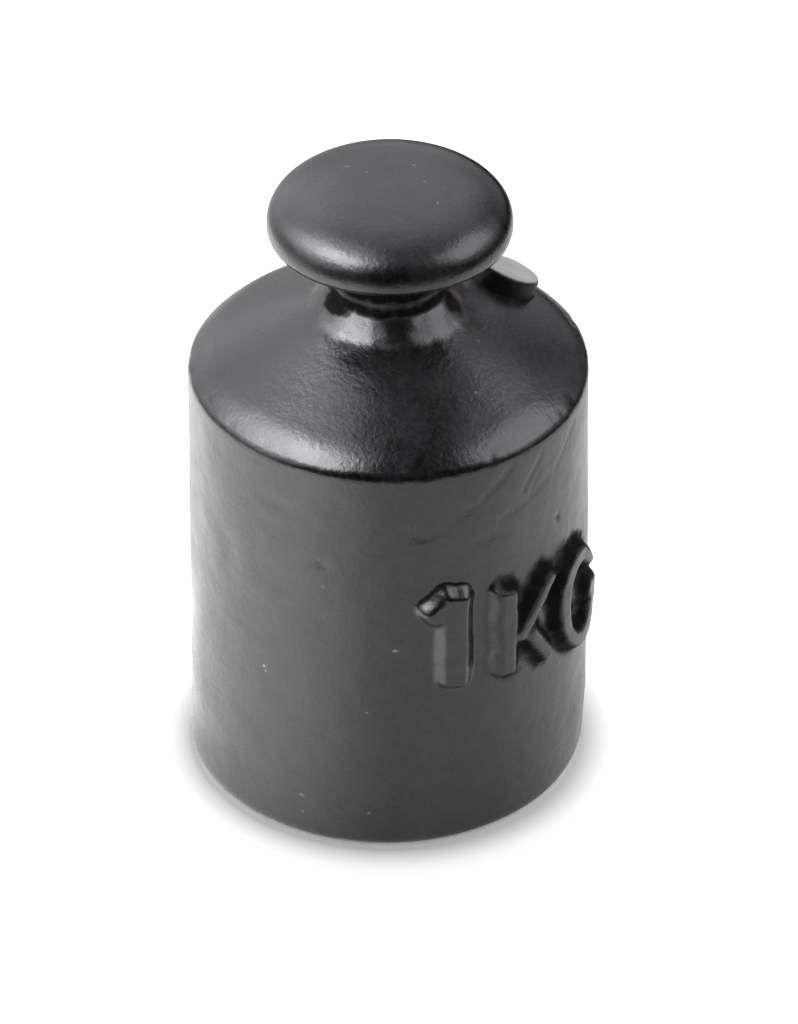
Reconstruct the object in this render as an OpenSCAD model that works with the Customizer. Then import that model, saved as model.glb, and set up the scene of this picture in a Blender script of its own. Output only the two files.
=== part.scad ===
// One kilogram scale weight: a cast iron cylinder with a lifting knob.
// It stands on Z = 0 with its axis on Z, and the raised mark on its side faces -Y.
// The adjusting cavity is drilled square to the sloping shoulder, near +X, and holds
// loose lead shot under a thin disc and a lead seal.

/* [Body] */
// Diameter of the cylinder at its foot
foot_d = 52.2; // [44:0.1:60]
// Diameter of the cylinder at the shoulder edge, smaller by the draft of the mould
edge_d = 51.4; // [44:0.1:60]
// Height of the shoulder edge above the foot
body_h = 58.9; // [45:0.1:80]
// Radius of the rounded corner at the foot
foot_round = 2.2; // [0.5:0.1:4]
// Radius of the rounded shoulder edge
edge_round = 1.1; // [0.5:0.1:2]

/* [Hollow of the underside] */
// Width of the flat rim that the weight stands on
rim_w = 4; // [3:0.5:8]
// Depth of the shallow hollow inside that rim
hollow_depth = 1.1; // [0.3:0.1:2]

/* [Shoulder] */
// Width of the steeper band that rounds the shoulder over to its edge
brow_w = 2.4; // [1.5:0.1:4]
// Slope of that band
brow_slope = 43; // [36:1:50]
// Slope of the cone from there up to the neck
cone_slope = 27.5; // [20:0.5:34]
// Radius that blends the two slopes
brow_round = 12; // [4:1:18]

/* [Neck] */
// Diameter of the neck at its narrowest
neck_d = 14.4; // [10:0.2:17]
// Diameter at which the steeper root of the neck leaves the cone
root_d = 20.8; // [18:0.2:24]
// Slope of the root
root_slope = 48; // [38:1:56]
// Radius that blends the cone into the root
root_blend = 4; // [1:0.5:8]
// Fillet between the root and the neck
neck_fillet = 2; // [0.5:0.1:4]
// Radius of the cove between the neck and the underside of the knob
knob_cove = 6.3; // [2:0.1:7]

/* [Knob] */
// Largest diameter of the knob
knob_d = 31.2; // [26:0.2:40]
// Room for the fingers, from the shoulder edge up to the knob's largest diameter
knob_rise = 21.4; // [18:0.2:28]
// Height of the knob above its largest diameter
crown_h = 6.2; // [4:0.1:9]
// Depth of the knob below its largest diameter
belly_h = 2; // [1.5:0.1:3]
// Fullness of the crown, where 2 is an ellipse and more is squarer
crown_fullness = 2.5; // [2:0.1:4]
// Fullness of the belly
belly_fullness = 3.5; // [2:0.1:5]

/* [Adjusting cavity] */
// Distance of the cavity's mouth from the axis of the weight
seal_offset = 17.7; // [16:0.1:19]
// Turn of the cavity about the axis, counted from +X
seal_turn = -11; // [-180:1:180]
// Diameter of the mouth, which the seal fills
mouth_d = 8.6; // [7:0.1:9.4]
// Depth of the mouth, down to the ledge under the closing disc
mouth_depth = 6; // [5:0.1:8]
// How far the keying groove is cut into the wall of the mouth
groove_cut = 0.8; // [0.4:0.1:1.2]
// Width of the keying groove
groove_w = 1.6; // [1:0.1:1.8]
// Width of the ledge that carries the closing disc
ledge_w = 0.9; // [0.6:0.1:1.2]
// Depth of the straight bore under the ledge
bore_depth = 24; // [18:0.5:28]
// Point angle of the drill that made the bore
drill_point = 118; // [90:1:140]

/* [Seal] */
// Height of the lead standing proud of the shoulder
seal_proud = 2.4; // [1:0.1:4]
// Radius of the seal's hammered upper edge
seal_round = 0.7; // [0.3:0.1:0.9]
// Thickness of the closing disc
disc_t = 1; // [0.5:0.1:1.5]
// Diameter of the lifting hole in the closing disc
lift_hole_d = 2; // [1:0.1:3]

/* [Shot] */
// Diameter of one lead pellet
shot_d = 2.2; // [1.8:0.05:2.3]
// Number of pellets round the wall of the bore
wall_shot = 22; // [5:1:24]

/* [Fits] */
// Gap left between the lead, the disc and the iron
seat_gap = 0.05; // [0.02:0.01:0.1]

/* [Hidden] */
$fn = 96;
arc_steps = 10;
cove_steps = 12;
knob_steps = 18;

foot_r = foot_d / 2;
edge_r = edge_d / 2;
neck_r = neck_d / 2;
knob_r = knob_d / 2;

// Shoulder, from its edge up to the foot of the neck
brow_r = edge_r - brow_w;
brow_z = body_h + brow_w * tan(brow_slope);
function cone_z(r) = brow_z + (brow_r - r) * tan(cone_slope);

// Root, up to where it meets the neck
root_r = root_d / 2;
root_z = cone_z(root_r) + (root_r - neck_r) * tan(root_slope);

// Underside
hollow_r = foot_r - foot_round - rim_w;
hollow_round = hollow_depth / 2;

// Knob
knob_z = body_h + knob_rise;
function belly_z(r) = knob_z - belly_h * pow(1 - pow(r / knob_r, belly_fullness), 1 / belly_fullness);
cove_r = min(knob_cove, 0.8 * (knob_r - neck_r), 0.95 * (knob_z - belly_h - root_z));
belly_from = neck_r + cove_r;
cove_z = belly_z(belly_from) - cove_r;

// Cavity, measured along its own axis from the shoulder's surface
mouth_r = mouth_d / 2;
groove_r = mouth_r + groove_cut;
groove_top = -(mouth_depth - disc_t - groove_w) / 2;
groove_bottom = groove_top - groove_w;
bore_r = mouth_r - ledge_w;
bore_end = -(mouth_depth + bore_depth);
bore_tip = bore_end - bore_r / tan(drill_point / 2);
above_shoulder = seal_proud + 1;

// Seal and disc
seal_r = mouth_r - seat_gap;
key_r = groove_r - seat_gap;
disc_r = mouth_r - seat_gap;
disc_bottom = -mouth_depth + seat_gap;
seal_bottom = disc_bottom + disc_t + seat_gap;

// Pellets wind up the wall in one helix, nested on each other, round a core on the axis
shot_r = shot_d / 2;
shot_pitch = shot_d + seat_gap / 2;
helix_r = min(bore_r - shot_r - seat_gap, shot_pitch * 1.02);
helix_turn = 360 / 5.5;
nest_chord = 2 * helix_r * sin(helix_turn / 4);
helix_climb = sqrt(pow(shot_pitch, 2) - pow(nest_chord, 2)) / 5;
shot_floor = bore_end + shot_r + seat_gap;
core_shot = floor((wall_shot - 1) * helix_climb / shot_pitch) + 1;

// Points of a tangent arc that rounds the corner between two straight sides, no larger
// than the room on them
function unit(v) = v / norm(v);
function corner_arc(before, corner, after, radius, room) =
    let (
        back = unit(before - corner),
        on = unit(after - corner),
        half_angle = acos(back * on) / 2,
        r = min(radius, room * tan(half_angle)),
        centre = corner + unit(back + on) * r / sin(half_angle),
        from = corner + back * r / tan(half_angle) - centre,
        turn = 180 - 2 * half_angle,
        side = sign(back.y * on.x - back.x * on.y),
        start = atan2(from.y, from.x)
    )
    [for (i = [0:arc_steps])
        let (a = start + side * turn * i / arc_steps)
        centre + r * [cos(a), sin(a)]];

// The length of a side that a corner may use: half of it, if the next corner is rounded too
function side_room(corner, next) =
    norm([next.x - corner.x, next.y - corner.y]) / (next[2] == 0 ? 1 : 2);

// An outline from corners given as [r, z, rounding], where 0 leaves the corner sharp
function rounded(corners) =
    let (last = len(corners) - 1)
    [for (i = [0:last])
        let (
            c = corners[i],
            p = [c.x, c.y],
            b = corners[max(i - 1, 0)],
            a = corners[min(i + 1, last)],
            room = min(side_room(c, b), side_room(c, a))
        )
        each (c[2] == 0 ? [p] : corner_arc([b.x, b.y], p, [a.x, a.y], c[2], room))];

// A quarter of the knob's section, from its largest diameter to the axis
function knob_curve(height, fullness) =
    [for (i = [0:knob_steps])
        let (a = 90 * i / knob_steps)
        [knob_r * pow(cos(a), 2 / fullness), height * pow(sin(a), 2 / fullness)]];

belly_curve = [for (p = knob_curve(-belly_h, belly_fullness)) if (p.x > belly_from + 0.1) p];
belly_count = len(belly_curve);

// The cove, a quarter turn from the neck out to the belly of the knob
cove_curve = [for (i = [0:cove_steps])
    let (a = 180 - 90 * i / cove_steps)
    [belly_from + cove_r * cos(a), cove_z + cove_r * sin(a)]];

// Outline of the casting, from the hollow underneath, up the side and over the knob
module casting_outline() {
    body = rounded([
        [0, hollow_depth, 0],
        [hollow_r, hollow_depth, hollow_round],
        [hollow_r + hollow_depth, 0, hollow_round],
        [foot_r, 0, foot_round],
        [edge_r, body_h, edge_round],
        [brow_r, brow_z, brow_round],
        [root_r, cone_z(root_r), root_blend],
        [neck_r, root_z, neck_fillet],
        [neck_r, cove_z, 0]
    ]);
    belly = [for (i = [1:belly_count]) [0, knob_z] + belly_curve[belly_count - i]];
    crown = [for (p = knob_curve(crown_h, crown_fullness)) if (p.y > 0) [0, knob_z] + p];
    polygon(concat(body, [for (i = [1:cove_steps]) cove_curve[i]], belly, crown));
}

// Moves to the cavity's mouth, with +Z out of the shoulder
module at_mouth() {
    rotate([0, 0, seal_turn])
        translate([seal_offset, 0, cone_z(seal_offset)])
            rotate([0, cone_slope, 0])
                children();
}

// What the drill and the groove tool take out of the shoulder
module cavity() {
    at_mouth()
        rotate_extrude()
            polygon([
                [0, bore_tip],
                [bore_r, bore_end],
                [bore_r, -mouth_depth],
                [mouth_r, -mouth_depth],
                [mouth_r, groove_bottom],
                [groove_r, groove_bottom],
                [groove_r, groove_top],
                [mouth_r, groove_top],
                [mouth_r, above_shoulder],
                [0, above_shoulder]
            ]);
}

// Body, shoulder, neck and knob, cast in one
module weight_casting() {
    color("#34363a")
        difference() {
            rotate_extrude() casting_outline();
            cavity();
        }
}

// Loose pellets at the foot of the bore
module lead_shot() {
    color("#7d8084")
        at_mouth() {
            for (i = [0:wall_shot - 1])
                rotate([0, 0, i * helix_turn])
                    translate([helix_r, 0, shot_floor + i * helix_climb])
                        sphere(r = shot_r);
            for (i = [0:core_shot - 1])
                translate([0, 0, shot_floor + i * shot_pitch])
                    sphere(r = shot_r);
        }
}

// Punched disc on the ledge, with a hole to lift it by
module closing_disc() {
    color("#b5954f")
        at_mouth()
            translate([0, 0, disc_bottom])
                difference() {
                    cylinder(r = disc_r, h = disc_t);
                    translate([0, 0, -1])
                        cylinder(d = lift_hole_d, h = disc_t + 2);
                }
}

// Lead hammered into the mouth and its groove, standing proud of the shoulder
module lead_seal() {
    color("#a9abad")
        at_mouth()
            rotate_extrude()
                polygon(rounded([
                    [0, seal_bottom, 0],
                    [seal_r, seal_bottom, 0],
                    [seal_r, groove_bottom + seat_gap, 0],
                    [key_r, groove_bottom + seat_gap, 0],
                    [key_r, groove_top - seat_gap, 0],
                    [seal_r, groove_top - seat_gap, 0],
                    [seal_r, seal_proud, seal_round],
                    [0, seal_proud, 0]
                ]));
}

weight_casting();
lead_shot();
closing_disc();
lead_seal();
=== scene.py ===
import math

import bpy
import numpy as np
from mathutils import Matrix, Vector, noise


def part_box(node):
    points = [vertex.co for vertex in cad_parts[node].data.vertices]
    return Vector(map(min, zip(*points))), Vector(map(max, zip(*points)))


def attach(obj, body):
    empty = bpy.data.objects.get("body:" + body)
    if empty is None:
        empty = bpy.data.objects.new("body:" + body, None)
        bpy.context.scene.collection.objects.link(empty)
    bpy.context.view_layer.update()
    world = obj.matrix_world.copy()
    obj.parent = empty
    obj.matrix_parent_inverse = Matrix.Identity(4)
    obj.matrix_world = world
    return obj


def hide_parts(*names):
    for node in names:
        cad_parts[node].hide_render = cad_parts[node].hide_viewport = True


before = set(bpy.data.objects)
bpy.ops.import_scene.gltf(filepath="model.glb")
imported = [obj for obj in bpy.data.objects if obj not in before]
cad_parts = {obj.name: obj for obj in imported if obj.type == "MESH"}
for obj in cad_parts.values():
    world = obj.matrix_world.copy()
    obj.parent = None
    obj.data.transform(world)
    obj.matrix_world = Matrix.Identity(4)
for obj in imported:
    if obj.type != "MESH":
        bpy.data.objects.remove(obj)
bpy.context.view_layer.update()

# The viewpoint: a long lens looks down on the weight from the left of its raised mark, so
# the mark turns away to the right and the lead seal shows behind the knob.
mm = 0.001
camera_azimuth = math.radians(-45)
camera_elevation = math.radians(35.74)
camera_distance = 875 * mm
camera_aim_height = 35.3 * mm
camera_aim_right = 1.35 * mm
camera_lens = 236.5


def toward(azimuth, elevation):
    """Unit vector to where a camera or a lamp stands, azimuth 0 being in front at -Y."""
    level = math.cos(elevation)
    return Vector((math.sin(azimuth) * level, -math.cos(azimuth) * level, math.sin(elevation)))


def face(thing, back):
    """Turns a camera or a lamp to look against the direction back."""
    thing.rotation_mode = "QUATERNION"
    thing.rotation_quaternion = (-back).to_track_quat("-Z", "Y")


camera = bpy.data.objects.new("camera", bpy.data.cameras.new("camera"))
bpy.context.scene.collection.objects.link(camera)
camera.data.lens = camera_lens
camera.data.clip_start, camera.data.clip_end = 0.05, 20
camera_back = toward(camera_azimuth, camera_elevation)
camera_right = Vector((math.cos(camera_azimuth), math.sin(camera_azimuth), 0))
aim = Vector((0, 0, camera_aim_height)) + camera_right * camera_aim_right
camera.location = aim + camera_back * camera_distance
face(camera, camera_back)
bpy.context.scene.camera = camera
bpy.context.scene.view_settings.view_transform = "Standard"

# The casting: body, shoulder, neck and knob in one piece of grey iron, poured in sand. The
# side keeps the sand's skin, the shoulder and knob were rubbed smoother before enamelling.
casting_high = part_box("weight_casting")[1]
foot_r = casting_high.x
edge_r = 25.7 * mm
body_h = 58.9 * mm
foot_round = 2.2 * mm
edge_round = 1.1 * mm
rim_w = 4 * mm
hollow_depth = 1.1 * mm
brow_w = 2.4 * mm
brow_slope = math.radians(43)
brow_round = 12 * mm
cone_slope = math.radians(27.5)
root_r = 10.1 * mm
root_slope = math.radians(48)
root_blend = 4 * mm
neck_r = 7.2 * mm
neck_fillet = 2 * mm
knob_cove = 6.3 * mm
knob_r = 15.6 * mm
knob_z = 80.3 * mm
crown_h = casting_high.z - knob_z
belly_h = 2 * mm
crown_fullness = 2.5
belly_fullness = 3.5
arc_steps = 12
knob_steps = 40
dense_points = 6000

brow_r = edge_r - brow_w
brow_z = body_h + brow_w * math.tan(brow_slope)
hollow_r = foot_r - foot_round - rim_w


def cone_z(r):
    """Height of the shoulder's cone at a distance from the axis."""
    return brow_z + (brow_r - r) * math.tan(cone_slope)


def rounded(corners):
    """Outline through corners given as (r, z, rounding), with tangent arcs where it is not 0."""
    line = []
    for i, (r, z, rounding) in enumerate(corners):
        corner = np.array((r, z))
        if not rounding:
            line.append(corner)
            continue
        back = np.array(corners[i - 1][:2]) - corner
        on = np.array(corners[i + 1][:2]) - corner
        back, on = back / np.linalg.norm(back), on / np.linalg.norm(on)
        half_angle = math.acos(back @ on) / 2
        middle = (back + on) / np.linalg.norm(back + on)
        centre = corner + middle * rounding / math.sin(half_angle)
        arm = corner + back * rounding / math.tan(half_angle) - centre
        side = np.sign(back[1] * on[0] - back[0] * on[1])
        for a in np.linspace(0, side * (math.pi - 2 * half_angle), arc_steps):
            turn = np.array(((math.cos(a), -math.sin(a)), (math.sin(a), math.cos(a))))
            line.append(centre + turn @ arm)
    return line


def knob_curve(height, fullness):
    """Quarter section of the knob, from its largest diameter to the axis."""
    a = np.linspace(0, math.pi / 2, knob_steps)
    r = knob_r * np.abs(np.cos(a)) ** (2 / fullness)
    z = knob_z + height * np.abs(np.sin(a)) ** (2 / fullness)
    return list(np.column_stack((r, z)))


root_z = cone_z(root_r) + (root_r - neck_r) * math.tan(root_slope)
belly_from = neck_r + knob_cove
belly_z = knob_z - belly_h * (1 - (belly_from / knob_r) ** belly_fullness) ** (1 / belly_fullness)
casting_line = rounded([
    (0, hollow_depth, 0),
    (hollow_r, hollow_depth, hollow_depth / 2),
    (hollow_r + hollow_depth, 0, hollow_depth / 2),
    (foot_r, 0, foot_round),
    (edge_r, body_h, edge_round),
    (brow_r, brow_z, brow_round),
    (root_r, cone_z(root_r), root_blend),
    (neck_r, root_z, neck_fillet),
    (neck_r, belly_z, knob_cove),
    (belly_from, belly_z, 0),
])
casting_line += [p for p in reversed(knob_curve(-belly_h, belly_fullness)) if p[0] > belly_from]
casting_line += knob_curve(crown_h, crown_fullness)[1:]

# The raised mark: plain block characters cast with the side, value and unit. They stand
# upright on a line that falls to the right, with the draft that lets the pattern leave the
# sand. Places are in mm along the side from -Y, and up from the foot.
mark_relief = 1.68 * mm
mark_slope = 1.9
mark_foot = 0.55 * mark_slope
mark_blend = 1.0
mark_fall = math.tan(math.radians(10.5))
mark_centre = (-0.8, 31.2)
mark_reach = 24
mark_low, mark_high = 16, 47
stem = 1.9


def bar(u, v, start, end, half_width, corner=0.9):
    """Distance in mm to a straight stroke with slightly rounded ends."""
    start, end = np.array(start), np.array(end)
    length = np.linalg.norm(end - start)
    along = (end - start) / length
    middle = (start + end) / 2
    x = np.abs((u - middle[0]) * along[0] + (v - middle[1]) * along[1]) - length / 2 + corner
    y = np.abs((v - middle[1]) * along[0] - (u - middle[0]) * along[1]) - half_width + corner
    return np.hypot(np.maximum(x, 0), np.maximum(y, 0)) + np.minimum(np.maximum(x, y), 0) - corner


def bow(u, v, centre, half_w, half_h, half_width):
    """Distance in mm to an upright oval ring."""
    a = np.arctan2((v - centre[1]) / half_h, (u - centre[0]) / half_w)
    ring = np.hypot((u - centre[0]) / half_w, (v - centre[1]) / half_h)
    stretch = np.hypot(half_w * np.cos(a), half_h * np.sin(a))
    return np.abs(ring - 1) * stretch - half_width


def melt(a, b, blend=mark_blend):
    """The nearer of two strokes, run together in the corner as molten iron fills it."""
    near = np.clip(0.5 + (b - a) / (2 * blend), 0, 1)
    return b * (1 - near) + a * near - blend * near * (1 - near)


def mark_distance(u, v):
    """Distance in mm to the nearest stroke of the mark."""
    u = u - mark_centre[0]
    v = v - mark_centre[1] + mark_fall * u
    one = bar(u, v, (-11.3, -7.2), (-11.1, 7.6), stem)
    one = melt(one, bar(u, v, (-12.0, 5.6), (-14.9, 3.2), 1.5))
    kay = bar(u, v, (-4.2, -6.4), (-4.0, 7.4), 1.7)
    kay = melt(kay, bar(u, v, (-2.6, -1.4), (3.6, 8.0), 1.2))
    kay = melt(kay, bar(u, v, (-0.9, 0.0), (3.2, -5.8), 1.4))
    gee = bow(u, v, (10.0, 0.8), 3.9, 6.6, 1.6)
    gap = bar(u, v, (11.6, 3.2), (18, 3.2), 0.9, 0.3)
    gee = np.maximum(gee, -gap)
    gee = melt(gee, bar(u, v, (11.8, 0.4), (14, 0.4), 1.2))
    return np.minimum(np.minimum(one, kay), gee)


def field(points, wavelength, octaves, seed):
    """Smooth random field over the points, about -1 to 1, the same on every run."""
    shift = Vector((seed * 17.3, seed * 5.1, seed * 9.7))
    decay, finer = 0.9, 2.0
    scaled = points / wavelength
    return np.array([noise.fractal(Vector(p) + shift, decay, finer, octaves) for p in scaled])


def smooth(x):
    """0 below 0, 1 above 1 and an easy curve between."""
    x = np.clip(x, 0, 1)
    return x * x * (3 - 2 * x)


def within(height, zone):
    """1 inside a zone of heights and 0 outside it, the zone given as start, fade, end, fade."""
    start, fade_in, end, fade_out = zone
    return smooth((height - start) / fade_in) * smooth((end - height) / fade_out)


def spaced(line, steps):
    """Points along a line, spaced as the steps asked for along it."""
    length = np.concatenate(((0,), np.cumsum(np.linalg.norm(np.diff(line, axis=0), axis=1))))
    fine = np.linspace(0, length[-1], dense_points)
    dense = np.column_stack([np.interp(fine, length, line[:, i]) for i in range(2)])
    count = np.concatenate(((0,), np.cumsum((fine[1] - fine[0]) / steps(dense)[1:])))
    at = np.linspace(0, count[-1], int(count[-1]) + 1)
    return np.column_stack([np.interp(at, count, dense[:, i]) for i in range(2)])


def lathe(name, rows, columns, lift):
    """Closed mesh turned from rows of (r, z), moved along its normals by lift(points, ...)."""
    slope = np.gradient(rows, axis=0)
    slope /= np.linalg.norm(slope, axis=1)[:, None]
    inner = slice(1, -1)
    r, z = rows[inner, 0][:, None], rows[inner, 1][:, None]
    out_r, out_z = slope[inner, 1][:, None], -slope[inner, 0][:, None]
    a = columns[None, :]
    flat = np.stack(np.broadcast_arrays(r * np.cos(a), r * np.sin(a), z + 0 * a), -1)
    high = lift(flat.reshape(-1, 3)).reshape(flat.shape[:2])
    r, z = r + out_r * high, z + out_z * high
    points = np.stack(np.broadcast_arrays(r * np.cos(a), r * np.sin(a), z + 0 * a), -1)
    ring, turns = len(columns), len(rows) - 2
    ends = [(0, 0, points[0, :, 2].mean()), (0, 0, points[-1, :, 2].mean())]
    low, top = ring * turns, ring * turns + 1
    i, j = np.meshgrid(np.arange(turns - 1), np.arange(ring), indexing="ij")
    k = (j + 1) % ring
    quads = np.stack((i * ring + j, i * ring + k, (i + 1) * ring + k, (i + 1) * ring + j), -1)
    faces = quads.reshape(-1, 4).tolist()
    faces += [(low, (n + 1) % ring, n) for n in range(ring)]
    last = (turns - 1) * ring
    faces += [(top, last + n, last + (n + 1) % ring) for n in range(ring)]
    mesh = bpy.data.meshes.new(name)
    mesh.from_pydata(points.reshape(-1, 3).tolist() + ends, [], faces)
    mesh.validate()
    made = bpy.data.objects.new(name, mesh)
    bpy.context.scene.collection.objects.link(made)
    return made


# The skin of the casting is no true turned surface. The mould had sagged: the shoulder's edge
# tips to one side in front and stands higher at the back, the foot swells to the left, and
# the knob sits off the axis. Bearings count from the camera, positive to its right.
edge_tilt = 0.25 * mm
back_rise = 0.5 * mm
back_bearing = math.radians(125)
back_spread = math.radians(55)
foot_swell = 0.4 * mm
swell_bearing = math.radians(-75)
knob_shift = 0.2 * mm

# Heights in mm where these start and end. A zone gives where it starts and how it fades in,
# and where it ends and fades out.
swell_height = 9
shift_height = 74
rise_from, rise_to = 50, 72
rise_r = 11
side_zone = (1, 3, body_h / mm, 1.5)
edge_zone = (45, 10, 66, 5)
root_zone = (65, 2, 75, 3)
side_from = 20 * mm

# Unevenness from the sand: wavelength in mm, octaves, seed, height in mm everywhere, and how
# much more of it stands on the side, which was never rubbed
sand_waves = [
    (5.5, 3, 2, 0.012, 0.05),
    (1.3, 2, 5, 0.004, 0.012),
]

# The sag of the mould in long waves, the wander and wear of the mark's edges, chips along
# the shoulder's lip and lumps at the root of the neck, in mm
sag_wave, sag, side_sag = 40, 0.10, 0.12
mark_wander = 0.22
mark_wear = 0.12
lip_chips = 0.2
root_lumps = 0.14

# The mesh is finest over the mark and round the neck, and coarse near the axis
fine_step = 0.32 * mm
plain_step = 0.6 * mm
end_step = 1.4 * mm
fine_heights = ((20, 43), (67, 79))
end_r = 12 * mm
end_fade = 9 * mm
end_clear = 15 * mm
mark_half_angle = math.radians(42)

# Dents and pits: bearing in degrees, height, half width, half height and depth in mm
dents = [
    (-66, 71.2, 1.5, 0.5, 0.35),
    (-45, 71.0, 1.6, 0.3, 0.2),
    (78, 70.4, 1.4, 0.6, 0.3),
    (56.8, 44.7, 0.35, 0.35, 0.45),
    (-19.0, 44.7, 0.8, 0.35, 0.30),
    (6.5, 50.9, 0.5, 1.3, 0.26),
    (9.5, 49.6, 1.6, 0.5, 0.24),
    (24.0, 52.5, 3.0, 1.0, 0.15),
    (30.0, 47.5, 2.4, 0.6, 0.21),
    (-33.0, 52.0, 2.5, 1.0, 0.18),
    (-52.0, 40.0, 2.0, 3.0, 0.18),
    (-8.0, 8.0, 1.2, 0.5, 0.10),
    (-26.0, 5.5, 1.6, 0.5, 0.12),
    (150.0, 30.0, 2.2, 1.2, 0.14),
    (-130.0, 22.0, 1.0, 0.8, 0.20),
    (-160.0, 47.0, 3.0, 0.8, 0.12),
]

# Scratches of the sand, from one bearing and height to another, half width and depth in mm
scratches = [
    (28, 54.0, 38, 57.5, 0.35, 0.15),
    (41.3, 52.6, 48.6, 56.8, 0.3, 0.14),
    (44.5, 52.3, 48, 54.2, 0.25, 0.12),
    (33, 49.5, 52, 52.5, 0.4, 0.10),
    (12, 49.5, 27, 53.5, 0.5, 0.09),
    (55, 53, 66, 57, 0.3, 0.10),
    (150, 12, 175, 16, 0.4, 0.12),
    (-120, 35, -100, 38, 0.4, 0.10),
]


def casting_steps(line):
    """Spacing of the casting's rows: fine over the mark, coarse in the hollow and crown."""
    r, z = line[:, 0], line[:, 1]
    fine = np.any([(z > low * mm) & (z < high * mm) for low, high in fine_heights], axis=0)
    steps = np.where(fine, fine_step, plain_step)
    steps = np.where(z < hollow_depth * 1.01, end_step, steps)
    near_axis = smooth((end_r - r) / end_fade) * (np.abs(z - body_h) > end_clear)
    return steps + (end_step - plain_step) * near_axis


def casting_columns():
    """Angles of the casting's columns, finer over the mark than elsewhere."""
    front = np.arange(-mark_half_angle, mark_half_angle, fine_step / edge_r)
    count = int((2 * math.pi - 2 * mark_half_angle) / (plain_step / edge_r))
    rest = np.linspace(mark_half_angle, 2 * math.pi - mark_half_angle, count)[:-1]
    return np.concatenate((front, rest)) - math.pi / 2


def round_side(points):
    """Bearing from the camera in radians, and height in mm, of points of the casting."""
    angle = np.arctan2(points[:, 1], points[:, 0])
    return np.angle(np.exp(1j * (angle + math.pi / 2 - camera_azimuth))), points[:, 2] / mm


def mark_place(points):
    """Distance in mm to the mark's strokes, far away from them too."""
    angle = np.arctan2(points[:, 1], points[:, 0])
    u = np.angle(np.exp(1j * (angle + math.pi / 2))) * foot_r / mm
    v = points[:, 2] / mm
    near = (np.abs(u) < mark_reach) & (v > mark_low) & (v < mark_high)
    near &= np.hypot(points[:, 0], points[:, 1]) > side_from
    away = np.full(len(points), 9.0)
    away[near] = mark_distance(u[near], v[near])
    return away


def casting_lift(points):
    """Mark, sand skin, dents and chips of the casting, in metres along its normal."""
    bearing, height = round_side(points)
    r = np.hypot(points[:, 0], points[:, 1])
    standing = smooth(height / 2)
    on_side = within(height, side_zone)
    on_lip = smooth(1 - np.abs(height - body_h / mm - 0.2) / 1.6) * (r > side_from)
    at_root = smooth((12.5 * mm - r) / (3 * mm)) * within(height, root_zone)
    away = mark_place(points) + mark_wander * field(points, 3.2 * mm, 2, 3)
    lift = mark_relief * smooth((mark_foot - away) / mark_slope) * on_side
    worn = smooth((2.6 - away) / 2) * on_side
    lift += np.minimum(field(points, 2.8 * mm, 2, 23), 0) * mark_wear * mm * worn
    lift += field(points, sag_wave * mm, 2, 1) * (sag + side_sag * on_side) * mm * standing
    for wave, octaves, seed, low, more in sand_waves:
        lift += field(points, wave * mm, octaves, seed) * (low + more * on_side) * mm
    lift -= np.maximum(field(points, 2.6 * mm, 2, 11) - 0.1, 0) * lip_chips * mm * on_lip
    lift += field(points, 3.6 * mm, 2, 13) * root_lumps * mm * at_root
    for at, level, half_w, half_h, depth in dents:
        across = np.angle(np.exp(1j * (bearing - math.radians(at)))) * r / mm / half_w
        lift -= depth * mm * np.exp(-across ** 2 - ((height - level) / half_h) ** 2)
    round_mm = bearing * foot_r / mm
    for at, level, to, rise, half_w, depth in scratches:
        ends = [(math.radians(a) * foot_r / mm, h) for a, h in ((at, level), (to, rise))]
        off = np.maximum(bar(round_mm, height, *ends, 0.01, 0), 0) / half_w
        lift -= depth * mm * np.exp(-off ** 2) * on_side
    return lift


def crooked(points):
    """Moves points as the mould sagged: edge tipped, foot swollen to one side, knob off axis."""
    x, y, z = points.T
    r = np.hypot(x, y)
    bearing, height = round_side(points)
    in_front = smooth((np.cos(bearing) + 0.3) / 0.6)
    z = z - edge_tilt * np.sin(bearing) * in_front * within(height, edge_zone) * r / edge_r
    to_back = np.angle(np.exp(1j * (bearing - back_bearing))) / back_spread
    upper = smooth((height - rise_from) / 9) * (height < rise_to)
    upper = upper * smooth((r / mm - rise_r) / 5)
    z = z + back_rise * np.exp(-to_back ** 2) * upper
    swell = foot_swell * np.cos(bearing - swell_bearing) * smooth((swell_height - height) / 8)
    swell *= smooth(r / edge_r * 4 - 3) / edge_r
    slide = knob_shift * smooth((height - shift_height) / 3)
    x = x * (1 + swell) + slide * math.cos(camera_azimuth)
    y = y * (1 + swell) + slide * math.sin(camera_azimuth)
    return np.column_stack((x, y, z))


casting_rows = spaced(np.array(casting_line), casting_steps)
casting = lathe("iron_casting", casting_rows, casting_columns(), casting_lift)


def vertices(mesh):
    """Places of all vertices of a mesh, one row each."""
    places = np.empty(len(mesh.vertices) * 3)
    mesh.vertices.foreach_get("co", places)
    return places.reshape(-1, 3)


casting.data.vertices.foreach_set("co", crooked(vertices(casting.data)).ravel())

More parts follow.
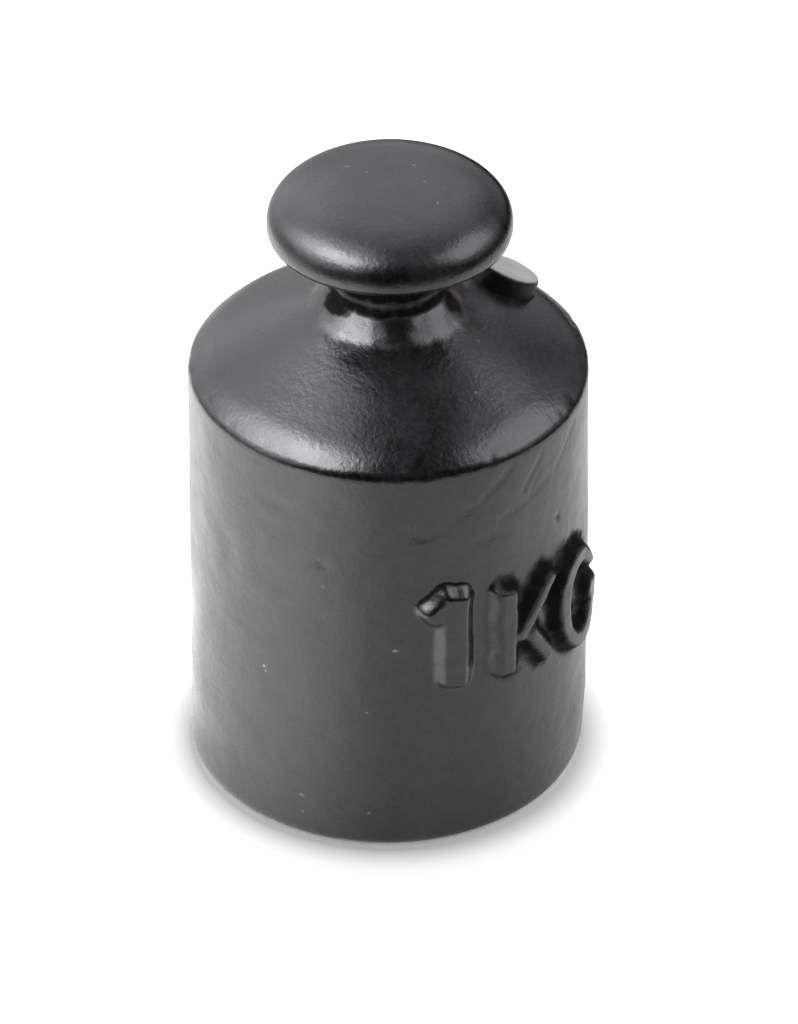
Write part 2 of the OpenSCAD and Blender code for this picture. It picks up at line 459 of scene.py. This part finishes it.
# The adjusting cavity is drilled square to the shoulder, with a ledge for the disc and a
# groove that keys the lead.
seal_offset = 17.7 * mm
seal_turn = math.radians(-11)
mouth_r = 4.3 * mm
mouth_depth = 6 * mm
groove_cut = 0.8 * mm
groove_w = 1.6 * mm
ledge_w = 0.9 * mm
bore_depth = 24 * mm
drill_point = math.radians(118)
disc_t = 1 * mm
seal_proud = 2.4 * mm
seal_round = 0.7 * mm
seat_gap = 0.05 * mm
sharp_angle = math.radians(50)
groove_top = -(mouth_depth - disc_t - groove_w) / 2
groove_bottom = groove_top - groove_w
bore_r = mouth_r - ledge_w
bore_end = -(mouth_depth + bore_depth)
bore_tip = bore_end - bore_r / math.tan(drill_point / 2)
mouth = (
    Matrix.Rotation(seal_turn, 4, "Z")
    @ Matrix.Translation((seal_offset, 0, cone_z(seal_offset)))
    @ Matrix.Rotation(cone_slope, 4, "Y")
)


def even(angles):
    """That many angles, evenly round a turn."""
    return np.arange(angles) * 2 * math.pi / angles


cavity_line = np.array([
    (0, bore_tip),
    (bore_r, bore_end),
    (bore_r, -mouth_depth),
    (mouth_r, -mouth_depth),
    (mouth_r, groove_bottom),
    (mouth_r + groove_cut, groove_bottom),
    (mouth_r + groove_cut, groove_top),
    (mouth_r, groove_top),
    (mouth_r, seal_proud),
    (0, seal_proud),
])
cutter = lathe("cavity_cutter", cavity_line, even(72), lambda points: np.zeros(len(points)))
cutter.data.transform(mouth)
cut = casting.modifiers.new("cavity", "BOOLEAN")
cut.operation = "DIFFERENCE"
cut.solver = "EXACT"
cut.object = cutter
bpy.context.view_layer.update()
drilled = casting.evaluated_get(bpy.context.evaluated_depsgraph_get())
casting.data = bpy.data.meshes.new_from_object(drilled)
casting.modifiers.clear()
bpy.data.objects.remove(cutter)
casting.data.shade_smooth()
casting.data.set_sharp_from_angle(angle=sharp_angle)

# Bare scale and painted shade: hollows in the mark and under the knob take the burnt, sandy
# black of iron that the brush never reached, which also paints the shade in them. It reaches
# scale_margin mm out from the mark's strokes, but not left of scale_from.
scale_margin = 2.2
scale_from = -6.8
scale_ragged = 0.35
scale_shows = 0.5
collar_zone = (70.5, 0.5, 72.2, 0.3)
cove_zone = (72.0, 1.3, 79, 0.3)
cove_r, collar_r, patch_r = 14.5, 12, 13

# Patches of it under the knob: a bearing in degrees, a height and two half sizes in mm
scale_patches = [
    (-62, 70.4, 2.8, 0.9),
    (74, 69.8, 1.7, 1.3),
    (-10, 71.2, 1.5, 0.6),
    (150, 70.2, 3.0, 0.9),
    (-150, 70.8, 3.5, 0.6),
]


def scale_and_painted_shade(points):
    """How bare the iron is, and so how deep the painted shade in the hollows, scale showing above
    0.5, with ragged edges.
    """
    bearing, height = round_side(points)
    r = np.hypot(points[:, 0], points[:, 1]) / mm
    side = np.angle(np.exp(1j * (bearing + camera_azimuth))) * foot_r / mm
    away = mark_place(points)
    bare = smooth((away + 0.9) / 0.7) * smooth((scale_margin - away) / scale_margin)
    bare *= smooth((side - scale_from) / 1.8)
    # Painted shade: the cove under the knob and the collar under the neck are darkened the same
    # way.
    under_knob = within(height, cove_zone) * smooth((cove_r - r) / 0.5)
    under_neck = within(height, collar_zone) * (r < collar_r)
    bare = np.maximum(bare, np.maximum(under_knob, 0.9 * under_neck))
    for at, level, half_w, half_h in scale_patches:
        across = np.angle(np.exp(1j * (bearing - math.radians(at)))) * r / half_w
        patch = np.exp(-(across ** 2 + ((height - level) / half_h) ** 2) ** 2)
        bare = np.maximum(bare, patch * (r < patch_r))
    return bare + (scale_ragged * field(points, 1.5 * mm, 3, 17) - 0.05) * (bare > 0.02)


def by_face(mesh, values):
    """Mean over each face of a value given for each vertex."""
    corner, first = np.empty(len(mesh.loops), int), np.empty(len(mesh.polygons), int)
    mesh.loops.foreach_get("vertex_index", corner)
    mesh.polygons.foreach_get("loop_start", first)
    return np.add.reduceat(values[corner], first) / np.diff(np.append(first, len(corner)))


bare = scale_and_painted_shade(vertices(casting.data))
# Faces past scale_shows take the black scale, which is partly real crust and partly painted
# shade.
is_scale_or_shade = by_face(casting.data, bare) > scale_shows
casting.data.polygons.foreach_set("material_index", is_scale_or_shade.astype(int))
bareness_and_shade = casting.data.attributes.new("bareness_and_shade", "FLOAT", "POINT")
bareness_and_shade.data.foreach_set("value", np.clip(bare, 0, 1))


def linear(colour):
    """Linear red, green, blue and 1 for an sRGB hex colour."""
    parts = [int(colour[i:i + 2], 16) / 255 for i in (1, 3, 5)]
    return [c / 12.92 if c <= 0.04045 else ((c + 0.055) / 1.055) ** 2.4 for c in parts] + [1]


def add(tree, kind, links=None, **settings):
    """Adds a node to a material, with its settings, and its inputs set or linked."""
    made = tree.nodes.new(kind)
    for name, value in settings.items():
        setattr(made, name, value)
    for name, value in (links or {}).items():
        if isinstance(value, bpy.types.NodeSocket):
            tree.links.new(value, made.inputs[name])
        else:
            made.inputs[name].default_value = value
    return made


def finish_with(name, build):
    """New material whose surface is the shader that build makes from its tree."""
    made = bpy.data.materials.new(name)
    made.use_nodes = True
    tree = made.node_tree
    tree.nodes.clear()
    shader = build(tree)
    add(tree, "ShaderNodeOutputMaterial", {"Surface": shader.outputs[0]})
    return made


def spot(azimuth, radius, height):
    """Place in metres from a bearing from the camera in degrees, and mm from axis and foot."""
    out = toward(camera_azimuth + math.radians(azimuth), 0) * radius * mm
    return Vector((out.x, out.y, height * mm))


# Bare places in the enamel: place, size in mm, colour, roughness and how much shows. Chips
# end crisply, and the larger spots of rust fade out.
largest_chip = 0.5
chip_fade, rust_fade = 0.15, 0.5
bare_places = [
    (spot(-38.3, 26.0, 25.6), 0.32, "#c9c9c6", 0.5, 1.0),
    (spot(-38.1, 26.0, 24.9), 0.26, "#b5b5b2", 0.5, 1.0),
    (spot(1.9, 25.9, 32.2), 0.30, "#85878a", 0.5, 0.8),
    (spot(-6.2, 26.0, 22.2), 0.22, "#6f7174", 0.5, 0.8),
    (spot(-25.6, 26.0, 7.0), 0.25, "#7b7d80", 0.5, 0.8),
    (spot(-145, 11.4, 84.2), 0.3, "#8d8e91", 0.5, 0.4),
    (spot(-126.8, 6.64, 86.2), 0.25, "#a2a3a6", 0.5, 0.3),
    (spot(-130.9, 3.47, 86.44), 0.2, "#a2a3a6", 0.5, 0.25),
    (spot(141.8, 5.08, 86.35), 0.22, "#a2a3a6", 0.5, 0.3),
    (spot(92.0, 4.42, 86.39), 0.2, "#a2a3a6", 0.5, 0.25),
    (spot(54.6, 7.62, 86.06), 0.22, "#a2a3a6", 0.5, 0.3),
    (spot(-25.2, 26.0, 4.4), 0.25, "#7b7d80", 0.5, 0.8),
    (spot(-5.5, 26.0, 6.0), 0.22, "#7b7d80", 0.5, 0.7),
    (spot(38.2, 17.9, 63.95), 0.22, "#8d8e91", 0.5, 0.35),
]
rust_places = [
    (spot(88, 9.0, 69.8), 1.1, "#563a31", 0.8, 1.6),
    (spot(72, 9.2, 69.2), 1.5, "#211712", 0.8, 1.5),
]


def black_enamel(tree):
    """Brushed black oil enamel on cast iron: nearly black, so its gloss carries the shape.

    The brush left streaks round the body, dust sits in them, and chips show grey or rust.
    """
    # A streak is about 1 mm high, the orange peel of the thick coat 2.4 mm. The grain of the
    # sand is really 0.2 mm, and drawn three times as coarse to show at all.
    streak_length, streak_shape = 6.25 * mm, (1, 1, 6)
    blotch_size = 12.5 * mm
    mottle_size = 2.381 * mm
    grain_size = 0.625 * mm
    fleck_size = 3.846 * mm
    chip_edge = 0.909 * mm
    ragged_by = 0.9 * mm

    place = add(tree, "ShaderNodeTexCoord").outputs["Object"]
    round_body = add(tree, "ShaderNodeVectorMath", {
        0: place, 1: streak_shape,
    }, operation="MULTIPLY").outputs[0]
    streaks = add(tree, "ShaderNodeTexNoise", {
        "Vector": round_body, "Scale": 1 / streak_length, "Detail": 4.0, "Roughness": 0.6,
    }).outputs["Fac"]
    blotches = add(tree, "ShaderNodeTexNoise", {
        "Vector": place, "Scale": 1 / blotch_size, "Detail": 6.0, "Roughness": 0.65,
    }).outputs["Fac"]
    mottle = add(tree, "ShaderNodeTexNoise", {
        "Vector": place, "Scale": 1 / mottle_size, "Detail": 4.0, "Roughness": 0.6,
    }).outputs["Fac"]
    grain = add(tree, "ShaderNodeTexNoise", {
        "Vector": place, "Scale": 1 / grain_size, "Detail": 2.0,
    }).outputs["Fac"]
    bareness_and_shade = add(tree, "ShaderNodeAttribute", attribute_name="bareness_and_shade").outputs["Fac"]
    # Painted shade: towards the scaled hollows the enamel turns rougher and its colour darker.
    rough_shaded_ground = add(tree, "ShaderNodeMapRange", {
        "Value": bareness_and_shade, "From Max": 0.5,
    }, interpolation_type="SMOOTHSTEP").outputs[0]

    patchy = add(tree, "ShaderNodeMath", {
        0: mottle, 1: blotches,
    }, operation="MULTIPLY").outputs[0]
    patchy = add(tree, "ShaderNodeMapRange", {
        "Value": patchy, "From Min": 0.2, "From Max": 0.36, "To Max": 0.9,
    }).outputs[0]
    dusty = add(tree, "ShaderNodeMapRange", {
        "Value": streaks, "From Min": 0.48, "From Max": 0.75, "To Max": 0.7,
    }).outputs[0]
    dusty = add(tree, "ShaderNodeMath", {
        0: dusty, 1: patchy,
    }, operation="MAXIMUM").outputs[0]
    grit = add(tree, "ShaderNodeMapRange", {
        "Value": grain, "From Min": 0.42, "From Max": 0.7, "To Max": 0.7,
    }).outputs[0]
    dusty = add(tree, "ShaderNodeMath", {0: dusty, 1: grit}, operation="ADD").outputs[0]
    colour = add(tree, "ShaderNodeMix", {
        0: dusty, 6: linear("#040405"), 7: linear("#1c1d20"),
    }, data_type="RGBA").outputs[2]
    gloss = add(tree, "ShaderNodeMapRange", {
        "Value": blotches, "From Min": 0.3, "From Max": 0.7, "To Min": 0.17, "To Max": 0.37,
    }).outputs[0]
    gloss = add(tree, "ShaderNodeMix", {0: rough_shaded_ground, 2: gloss, 3: 0.7}).outputs[0]
    colour = add(tree, "ShaderNodeMix", {
        0: rough_shaded_ground, 6: colour, 7: linear("#040404"),
    }, data_type="RGBA").outputs[2]

    flecks = add(tree, "ShaderNodeTexVoronoi", {"Vector": place, "Scale": 1 / fleck_size})
    few = add(tree, "ShaderNodeSeparateColor", {0: flecks.outputs["Color"]})
    size = add(tree, "ShaderNodeMapRange", {
        "Value": few.outputs[0], "From Min": 0.72, "To Max": 0.09,
    }).outputs[0]
    fleck = add(tree, "ShaderNodeMath", {
        0: flecks.outputs["Distance"], 1: size,
    }, operation="LESS_THAN").outputs[0]
    fleck = add(tree, "ShaderNodeMath", {0: fleck, 1: 0.35}, operation="MULTIPLY").outputs[0]
    colour = add(tree, "ShaderNodeMix", {
        0: fleck, 6: colour, 7: linear("#6b6c6f"),
    }, data_type="RGBA").outputs[2]

    ragged = add(tree, "ShaderNodeTexNoise", {
        "Vector": place, "Scale": 1 / chip_edge, "Detail": 3.0,
    }).outputs["Color"]
    ragged = add(tree, "ShaderNodeVectorMath", {
        0: ragged, 1: (ragged_by,) * 3, 2: place,
    }, operation="MULTIPLY_ADD").outputs[0]
    ragged = add(tree, "ShaderNodeVectorMath", {
        0: ragged, 1: (ragged_by / 2,) * 3,
    }, operation="SUBTRACT").outputs[0]
    for where, size_mm, bare, roughness, share in bare_places + rust_places:
        apart = add(tree, "ShaderNodeVectorMath", {0: ragged, 1: where}, operation="DISTANCE")
        fade = chip_fade if size_mm < largest_chip else rust_fade
        shows = add(tree, "ShaderNodeMapRange", {
            "Value": apart.outputs["Value"], "From Min": size_mm * (1 + fade) * mm,
            "From Max": size_mm * (1 - fade) * mm, "To Max": min(share, 0.9),
        }).outputs[0]
        colour = add(tree, "ShaderNodeMix", {
            0: shows, 6: colour, 7: linear(bare),
        }, data_type="RGBA").outputs[2]
        gloss = add(tree, "ShaderNodeMix", {0: shows, 2: gloss, 3: roughness}).outputs[0]

    fine_bump = add(tree, "ShaderNodeBump", {
        "Height": grain, "Strength": 0.8, "Distance": 0.045 * mm,
    }).outputs["Normal"]
    fine_bump = add(tree, "ShaderNodeBump", {
        "Height": mottle, "Strength": 0.6, "Distance": 0.065 * mm, "Normal": fine_bump,
    }).outputs["Normal"]
    brush_bump = add(tree, "ShaderNodeBump", {
        "Height": streaks, "Strength": 0.5, "Distance": 0.06 * mm, "Normal": fine_bump,
    }).outputs["Normal"]
    return add(tree, "ShaderNodeBsdfPrincipled", {
        "Base Color": colour, "Roughness": gloss, "IOR": 1.7, "Normal": brush_bump,
    })


def black_scale_and_painted_shade(tree):
    """Scale and burnt sand on raw iron, and painted shade in hollows: crumbly, black and all but
    without gloss.

    It is darkest where it is deep, which paints the shade of the hollows, greyer towards the
    enamel's edge, and rusty in two places.
    The IOR is low because a crust like this has all but no reflection of its own.
    """
    # The crust's crumbs are really 0.3 mm, and drawn coarser to show at all
    crust_size = 1.111 * mm
    place = add(tree, "ShaderNodeTexCoord").outputs["Object"]
    crust = add(tree, "ShaderNodeTexNoise", {
        "Vector": place, "Scale": 1 / crust_size, "Detail": 5.0, "Roughness": 0.65,
    }).outputs["Fac"]
    colour = add(tree, "ShaderNodeMix", {
        0: crust, 6: linear("#020202"), 7: linear("#141211"),
    }, data_type="RGBA").outputs[2]
    bareness_and_shade = add(tree, "ShaderNodeAttribute", attribute_name="bareness_and_shade").outputs["Fac"]
    # Painted shade: darker the deeper into the hollow, greyer towards the enamel.
    deep_shade = add(tree, "ShaderNodeMapRange", {
        "Value": bareness_and_shade, "From Min": 0.45, "From Max": 0.9,
    }, interpolation_type="SMOOTHSTEP").outputs[0]
    colour = add(tree, "ShaderNodeMix", {
        0: deep_shade, 6: linear("#333335"), 7: colour,
    }, data_type="RGBA").outputs[2]
    for where, size_mm, rust, _, share in rust_places:
        apart = add(tree, "ShaderNodeVectorMath", {0: place, 1: where}, operation="DISTANCE")
        shows = add(tree, "ShaderNodeMapRange", {
            "Value": apart.outputs["Value"], "From Min": size_mm * 1.3 * mm,
            "From Max": size_mm * 0.5 * mm, "To Max": share,
        }).outputs[0]
        shows = add(tree, "ShaderNodeMath", {0: shows, 1: crust}, operation="MULTIPLY").outputs[0]
        colour = add(tree, "ShaderNodeMix", {
            0: shows, 6: colour, 7: linear(rust),
        }, data_type="RGBA").outputs[2]
    crusted = add(tree, "ShaderNodeBump", {
        "Height": crust, "Strength": 0.8, "Distance": 0.12 * mm,
    }).outputs["Normal"]
    return add(tree, "ShaderNodeBsdfPrincipled", {
        "Base Color": colour, "Roughness": 0.7, "IOR": 1.2, "Normal": crusted,
    })


casting.data.materials.append(finish_with("satin black enamel on cast iron", black_enamel))
casting.data.materials.append(finish_with("black scale on raw iron", black_scale_and_painted_shade))
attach(casting, "root")
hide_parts("weight_casting")

# The shot: small pellets of lead, poured loose into the cavity until the weight is true.
# They lie in the drilled point and against the wall, where no one sees them again.
shot_bloom = 1.429 * mm


def dull_lead(tree):
    """Lead with its soft grey oxide: broad, weak reflections."""
    place = add(tree, "ShaderNodeTexCoord").outputs["Object"]
    bloom = add(tree, "ShaderNodeTexNoise", {
        "Vector": place, "Scale": 1 / shot_bloom, "Detail": 4.0,
    })
    tone = add(tree, "ShaderNodeMix", {
        0: bloom.outputs["Fac"],
        6: linear("#6d7073"),
        7: linear("#8b8e91"),
    }, data_type="RGBA")
    return add(tree, "ShaderNodeBsdfPrincipled", {
        "Base Color": tone.outputs[2], "Metallic": 0.8, "Roughness": 0.6,
    })


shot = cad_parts["lead_shot"]
shot.data.materials.clear()
shot.data.materials.append(finish_with("oxidised lead shot", dull_lead))

# The closing disc: punched from thin sheet brass, with a hole to lift it by. It lies on the
# ledge and keeps the shot down.
tarnish_size = 2 * mm


def dull_brass(tree):
    """Sheet brass, rolled and a little tarnished: yellow metal that has gone brown in places."""
    place = add(tree, "ShaderNodeTexCoord").outputs["Object"]
    tarnish = add(tree, "ShaderNodeTexNoise", {
        "Vector": place, "Scale": 1 / tarnish_size, "Detail": 5.0,
    })
    tone = add(tree, "ShaderNodeMix", {
        0: tarnish.outputs["Fac"],
        6: linear("#8a6a32"),
        7: linear("#c09a52"),
    }, data_type="RGBA")
    return add(tree, "ShaderNodeBsdfPrincipled", {
        "Base Color": tone.outputs[2], "Metallic": 1.0, "Roughness": 0.4,
    })


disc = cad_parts["closing_disc"]
disc.data.materials.clear()
disc.data.materials.append(finish_with("tarnished sheet brass", dull_brass))

# The seal: a lead plug hammered into the mouth and its groove. It stands proud as a thick
# button with a soft rim, a slightly crowned top and the facets of the hammer.
seal_crown = 0.15 * mm
seal_step = 0.16 * mm
seal_columns = 120
flank_w = 0.45 * mm
seal_bloom = 2.857 * mm
seal_uneven = 0.10 * mm
flank_wander = 0.1 * mm
knock_depth = 0.2 * mm
seal_bottom = -mouth_depth + disc_t + 2 * seat_gap
seal_r = mouth_r - seat_gap
seal_line = np.array(rounded([
    (0, seal_bottom, 0),
    (seal_r, seal_bottom, 0),
    (seal_r, groove_bottom + seat_gap, 0),
    (seal_r + groove_cut, groove_bottom + seat_gap, 0),
    (seal_r + groove_cut, groove_top - seat_gap, 0),
    (seal_r, groove_top - seat_gap, 0),
    (seal_r, seal_proud, seal_round),
    (0, seal_proud, 0),
]))


def seal_lift(points):
    """Unevenness of the hammered button above the shoulder, none where it is held."""
    x, y, z = points.T
    proud = smooth((z - 0.4 * mm) / (0.8 * mm))
    on_top = smooth((z - seal_proud + 0.3 * mm) / (0.3 * mm))
    crown = seal_crown * (1 - np.hypot(x, y) / seal_r) * on_top
    return proud * (crown + seal_uneven * field(points, 3 * mm, 2, 8))


seal_rows = spaced(seal_line, lambda line: np.full(len(line), seal_step))
seal = lathe("seal_button", seal_rows, even(seal_columns), seal_lift)
# Painted shade: the button's side below its top is marked to be darker than the top.
flank = seal.data.attributes.new("flank", "FLOAT", "POINT")
seal_points = vertices(seal.data)
seal_out = np.hypot(seal_points[:, 0], seal_points[:, 1])
seal_out += flank_wander * field(seal_points, 1.5 * mm, 2, 31)
on_flank = smooth((seal_out - seal_r + flank_w) / (0.3 * mm))
on_flank *= smooth((seal_proud - 0.05 * mm - seal_points[:, 2]) / (0.3 * mm))
flank.data.foreach_set("value", on_flank)
seal.data.transform(mouth)
seal_points = vertices(seal.data)
seal_points[:, 2] += back_rise * 0.9 * smooth((seal_points[:, 2] - 62 * mm) / (2 * mm))
seal.data.vertices.foreach_set("co", seal_points.ravel())
seal.data.shade_smooth()
seal.data.set_sharp_from_angle(angle=sharp_angle)


def hammered_lead(tree):
    """Weathered lead, pale grey and nearly matt, with small knocks, and its flank darkened as
    painted shade.
    """
    place = add(tree, "ShaderNodeTexCoord").outputs["Object"]
    bloom = add(tree, "ShaderNodeTexNoise", {
        "Vector": place, "Scale": 1 / seal_bloom, "Detail": 5.0,
    })
    tone = add(tree, "ShaderNodeMix", {
        0: bloom.outputs["Fac"],
        6: linear("#a3a2a4"),
        7: linear("#c3c2c3"),
    }, data_type="RGBA")
    flank_darkened = add(tree, "ShaderNodeAttribute", attribute_name="flank").outputs["Fac"]
    tone = add(tree, "ShaderNodeMix", {
        0: flank_darkened, 6: tone.outputs[2], 7: linear("#121214"),
    }, data_type="RGBA")
    knocks = add(tree, "ShaderNodeBump", {
        "Height": bloom.outputs["Fac"], "Strength": 0.4, "Distance": knock_depth,
    })
    return add(tree, "ShaderNodeBsdfPrincipled", {
        "Base Color": tone.outputs[2],
        "Metallic": 0.1,
        "Roughness": 0.5,
        "Normal": knocks.outputs["Normal"],
    })


seal.data.materials.append(finish_with("hammered weathered lead", hammered_lead))
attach(seal, "root")
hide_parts("lead_seal")

# The table is plain white card. To the eye its colour holds a painted shadow close round the
# weight's foot and a painted lift of light right under it. In gloss its colour is brightest on
# the side of the key lamp, a painted pool of light, and ends a hand's width in front. A bearing
# in degrees, the cosine at which it starts and a level stand for each bright side of it.
floor_r = 1.5
card_white = 1.55
card_edge = 0.9
card_under = 1.4
card_near = 0.9
card_plain = 0.75
card_end, card_gone = 160 * mm, 260 * mm
shadow_reach = 7 * mm
shadow_open, shadow_half, shadow_deep = 0.85, 0.5, 0.1
left_side = (-85, 0.05, 1.4)
right_side = (112, 0.3, 0.27)
far_side = (-120, 0.3, 0.9)
side_full = 0.9
floor_mesh = bpy.data.meshes.new("table")
rim = even(96)
corners = [(floor_r * math.cos(a), floor_r * math.sin(a), 0) for a in rim]
floor_mesh.from_pydata(corners, [], [tuple(range(len(corners)))])
floor = bpy.data.objects.new("table", floor_mesh)
bpy.context.scene.collection.objects.link(floor)


def from_camera(azimuth, elevation):
    """Unit vector at a bearing from the camera in degrees, positive to its right."""
    return toward(camera_azimuth + math.radians(azimuth), math.radians(elevation))


def white_card(tree):
    """Matt white card: white to the eye, its real shadow deepened by a painted one, and painted
    studio light in gloss.
    """
    ray = add(tree, "ShaderNodeLightPath").outputs
    place = add(tree, "ShaderNodeTexCoord").outputs["Object"]
    distance = add(tree, "ShaderNodeVectorMath", {0: place}, operation="LENGTH")
    bearing = add(tree, "ShaderNodeVectorMath", {0: place}, operation="NORMALIZE")
    # Painted shadow: to the eye the card's white falls off towards the foot with the ambient
    # occlusion.
    open_sky = add(tree, "ShaderNodeAmbientOcclusion", {"Distance": shadow_reach})
    outside = add(tree, "ShaderNodeMapRange", {
        "Value": open_sky.outputs["AO"], "From Min": shadow_half, "From Max": shadow_open,
        "To Min": card_edge, "To Max": card_white,
    })
    # Painted light: the card is lifted again where the occlusion is deepest, right under the
    # foot.
    under = add(tree, "ShaderNodeMapRange", {
        "Value": open_sky.outputs["AO"], "From Min": shadow_half, "From Max": shadow_deep,
        "To Max": card_under,
    })
    # Painted pools of light, seen in gloss, on the card's sides towards the lamps and far behind.
    sides = []
    for azimuth, low, bright in (left_side, right_side, far_side):
        to_side = add(tree, "ShaderNodeVectorMath", {
            0: bearing.outputs[0], 1: from_camera(azimuth, 0),
        }, operation="DOT_PRODUCT")
        sides.append(add(tree, "ShaderNodeMapRange", {
            "Value": to_side.outputs["Value"], "From Min": low, "From Max": side_full,
            "To Max": bright,
        }, interpolation_type="SMOOTHSTEP").outputs[0])
    near = add(tree, "ShaderNodeMath", {0: sides[0], 1: sides[1]})
    near = add(tree, "ShaderNodeMath", {0: near.outputs[0], 1: card_near})
    near = add(tree, "ShaderNodeMath", {0: near.outputs[0], 1: under.outputs[0]})
    away = add(tree, "ShaderNodeMapRange", {
        "Value": distance.outputs["Value"], "From Min": card_end, "From Max": card_gone,
    }, interpolation_type="SMOOTHSTEP")
    in_gloss = add(tree, "ShaderNodeMix", {
        0: away.outputs[0], 2: near.outputs[0], 3: sides[2],
    })
    to_eye = add(tree, "ShaderNodeMath", {0: outside.outputs[0], 1: under.outputs[0]})
    plain = add(tree, "ShaderNodeMix", {
        0: ray["Is Glossy Ray"], 2: card_plain, 3: in_gloss.outputs[0],
    })
    level = add(tree, "ShaderNodeMix", {
        0: ray["Is Camera Ray"], 2: plain.outputs[0], 3: to_eye.outputs[0],
    })
    return add(tree, "ShaderNodeBsdfDiffuse", {"Color": level.outputs[0]})


floor.data.materials.append(finish_with("matt white card", white_card))

# Three large soft boxes light the gloss: the key at the left, a weaker one beside it along
# the flank, and one at the right. Their light is slightly cool, as is that of the cloth.
cool_white = (1.0, 0.99, 1.05)


def softbox(name, azimuth, elevation, width, height, radiance, distance=0.9):
    """Soft lamp seen only in gloss, its bearing and spread in degrees, 1 being paper white."""
    width, height = (2 * distance * math.tan(math.radians(w / 2)) for w in (width, height))
    lamp = bpy.data.lights.new(name, "AREA")
    lamp.shape = "RECTANGLE"
    lamp.size, lamp.size_y = width, height
    lamp.energy = radiance * math.pi * width * height
    lamp.color = cool_white
    made = bpy.data.objects.new(name, lamp)
    bpy.context.scene.collection.objects.link(made)
    back = from_camera(azimuth, elevation)
    made.location = Vector((0, 0, body_h)) + back * distance
    face(made, back)
    made.visible_diffuse = False


softbox("key_left", -58, 48, 36, 27, 6.0)
softbox("key_flank", -88, 45, 26, 30, 2.7)
softbox("box_right", 88, 38, 44, 34, 1.8)

# The rest of the studio is white cloth behind and to the left, and dark on the camera's side.
# Each soft patch of it has a bearing, an elevation and a spread in degrees, and a level.
even_from, even_front, even_back = -0.17, 0.76, 1.37
cloth_patches = [
    (-80, 38, 46, 2.3),
    (-84, 66, 25, 1.3),
    (-42, 58, 20, 1.3),
    (-130, 24, 42, 1.35),
    (180, 50, 39, 1.25),
    (-165, 2, 34, 0.6),
    (160, 8, 30, 0.4),
    (92, 34, 44, 0.7),
]
world = bpy.data.worlds.new("studio")
bpy.context.scene.world = world
world.use_nodes = True
sky = world.node_tree
sky.nodes.clear()
looking = add(sky, "ShaderNodeTexCoord").outputs["Generated"]
cloth = None
for azimuth, elevation, spread, level in cloth_patches:
    towards = add(sky, "ShaderNodeVectorMath", {
        0: looking, 1: from_camera(azimuth, elevation),
    }, operation="DOT_PRODUCT")
    patch = add(sky, "ShaderNodeMapRange", {
        "Value": towards.outputs["Value"], "From Min": math.cos(math.radians(spread)),
        "To Max": level,
    }, interpolation_type="SMOOTHSTEP")
    cloth = patch if cloth is None else add(sky, "ShaderNodeMath", {
        0: cloth.outputs[0], 1: patch.outputs[0],
    })
ray = add(sky, "ShaderNodeLightPath").outputs
behind = add(sky, "ShaderNodeVectorMath", {
    0: looking, 1: from_camera(180, 20),
}, operation="DOT_PRODUCT")
evened = add(sky, "ShaderNodeMapRange", {
    "Value": behind.outputs["Value"], "From Min": even_from,
    "To Min": even_front, "To Max": even_back,
}, interpolation_type="SMOOTHSTEP")
cool_cloth = add(sky, "ShaderNodeVectorMath", {
    0: cloth.outputs[0], 1: cool_white,
}, operation="MULTIPLY")
in_gloss = add(sky, "ShaderNodeMix", {
    0: ray["Is Glossy Ray"], 6: evened.outputs[0], 7: cool_cloth.outputs[0],
}, data_type="RGBA")
studio_light = add(sky, "ShaderNodeBackground", {"Color": in_gloss.outputs[2]})
white = add(sky, "ShaderNodeBackground", {"Color": (1, 1, 1, 1)})
both = add(sky, "ShaderNodeMixShader", {
    0: ray["Is Camera Ray"], 1: studio_light.outputs[0], 2: white.outputs[0],
})
add(sky, "ShaderNodeOutputWorld", {"Surface": both.outputs[0]})
